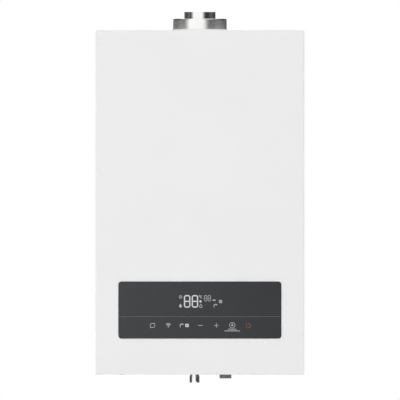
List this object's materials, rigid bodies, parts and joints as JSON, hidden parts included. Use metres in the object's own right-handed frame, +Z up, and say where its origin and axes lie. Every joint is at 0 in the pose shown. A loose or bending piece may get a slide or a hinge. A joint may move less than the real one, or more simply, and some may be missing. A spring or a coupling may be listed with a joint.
{
  "type": "combi boiler",
  "caption": "Wall-hung gas combi boiler: white sheet-metal casing, dark glass touch panel, coaxial flue socket on top, pipe stubs below.",
  "frame": {"origin": "on the wall plane, at the middle of the hanging bracket's row of screw slots", "axes": "+X to the right seen from the front, +Y into the wall (the front faces -Y), +Z up"},
  "size_m": [0.4, 0.2806, 0.709],
  "materials": {
    "casing_white": "smooth white powder coat",
    "control_glass": "dark back-printed glass, satin",
    "carrier_plastic": "moulded black",
    "circuit_board": "green board with fitted parts",
    "galvanised_sheet": "galvanised",
    "flue_steel": "polished stainless",
    "flue_rubber": "moulded black",
    "stainless": "pressed stainless",
    "aluminised_sheet": "aluminised, dull",
    "ceramic_fibre": "pressed fibre board",
    "copper": "drawn copper",
    "brass": "machined",
    "cast_aluminium": "die cast",
    "chromed_brass": "polished chrome",
    "black_plastic": "moulded",
    "grey_plastic": "moulded, knurled grip",
    "composite_plastic": "glass-filled, dull",
    "red_paint": "enamelled",
    "red_plastic": "moulded",
    "motor_black": "black enamel",
    "electrode_ceramic": "glazed",
    "clear_glass": "polished",
    "screw_steel": "zinc plated",
    "silicone_tube": "translucent"
  },
  "bodies": {
    "boiler": {"wall_bracket": "galvanised_sheet", "rear_frame": "galvanised_sheet", "left_side_panel": "casing_white", "right_side_panel": "casing_white", "top_panel": "casing_white", "base_plate": "galvanised_sheet", "cable_gland": "black_plastic", "control_box": "black_plastic", "control_box_lid": "black_plastic", "main_board": "circuit_board", "flue_collar": "flue_steel", "flue_collar_gasket": "flue_rubber", "flue_inner_tube": "flue_steel", "chamber_box": "galvanised_sheet", "chamber_lid": "galvanised_sheet", "sight_glass": "clear_glass", "combustion_chamber": "aluminised_sheet", "chamber_lining": "ceramic_fibre", "burner": "stainless", "gas_manifold": "cast_aluminium", "ignition_electrode": "electrode_ceramic", "ionisation_electrode": "electrode_ceramic", "heat_exchanger": "copper", "exhaust_hood": "aluminised_sheet", "fan_housing": "aluminised_sheet", "fan_motor": "motor_black", "air_pressure_switch": "black_plastic", "pressure_tube": "silicone_tube", "gas_inlet_pipe": "chromed_brass", "gas_valve": "cast_aluminium", "gas_valve_coils": "black_plastic", "gas_outlet_pipe": "copper", "plate_heat_exchanger": "stainless", "heating_flow_block": "brass", "diverter_actuator": "black_plastic", "return_block": "brass", "relief_valve": "brass", "filling_valve": "composite_plastic", "flow_sensor_housing": "brass", "pump_body": "composite_plastic", "pump_motor": "motor_black", "air_vent": "black_plastic", "flow_pipe": "copper", "return_pipe": "copper", "expansion_vessel": "red_paint", "expansion_hose": "stainless"},
    "cover": {"front_cover": "casing_white", "control_glass": "control_glass", "control_carrier": "carrier_plastic", "display_board": "circuit_board", "cover_screw_left": "screw_steel", "cover_screw_right": "screw_steel"},
    "fan_wheel": {"fan_impeller": "aluminised_sheet"},
    "pump_wheel": {"pump_impeller": "composite_plastic"},
    "turbine": {"flow_turbine": "red_plastic"},
    "diverter": {"diverter_stem": "stainless"},
    "filling_handle": {"filling_knob": "grey_plastic"},
    "relief_handle": {"relief_knob": "red_plastic"},
    "vent_cap": {"air_vent_cap": "red_plastic"}
  },
  "joints": [
    {"name": "cover_tilt", "type": "hinge", "parent": "boiler", "child": "cover", "pos_m": [0, -0.25, 0.06], "axis": [-1, 0, 0], "range_deg": [0, 20]},
    {"name": "fan_spin", "type": "hinge", "parent": "boiler", "child": "fan_wheel", "pos_m": [-0.042, -0.164, -0.025], "axis": [0, 1, 0], "continuous": true},
    {"name": "pump_spin", "type": "hinge", "parent": "boiler", "child": "pump_wheel", "pos_m": [0.112, -0.12, -0.46], "axis": [0, 1, 0], "continuous": true},
    {"name": "turbine_spin", "type": "hinge", "parent": "boiler", "child": "turbine", "pos_m": [0.0546, -0.085, -0.528], "axis": [0, 0, 1], "continuous": true},
    {"name": "diverter_slide", "type": "slide", "parent": "boiler", "child": "diverter", "axis": [0, 0, -1], "range_m": [0, 0.006]},
    {"name": "filling_knob_turn", "type": "hinge", "parent": "boiler", "child": "filling_handle", "pos_m": [0.0492, -0.137, -0.59], "axis": [0, 0, 1], "range_deg": [0, 360]},
    {"name": "relief_knob_turn", "type": "hinge", "parent": "boiler", "child": "relief_handle", "pos_m": [0.175, -0.085, -0.526], "axis": [1, 0, 0], "range_deg": [0, 90]},
    {"name": "air_vent_cap_turn", "type": "hinge", "parent": "boiler", "child": "vent_cap", "pos_m": [0.085, -0.128, -0.386], "axis": [0, 0, 1], "range_deg": [0, 360]}
  ]
}
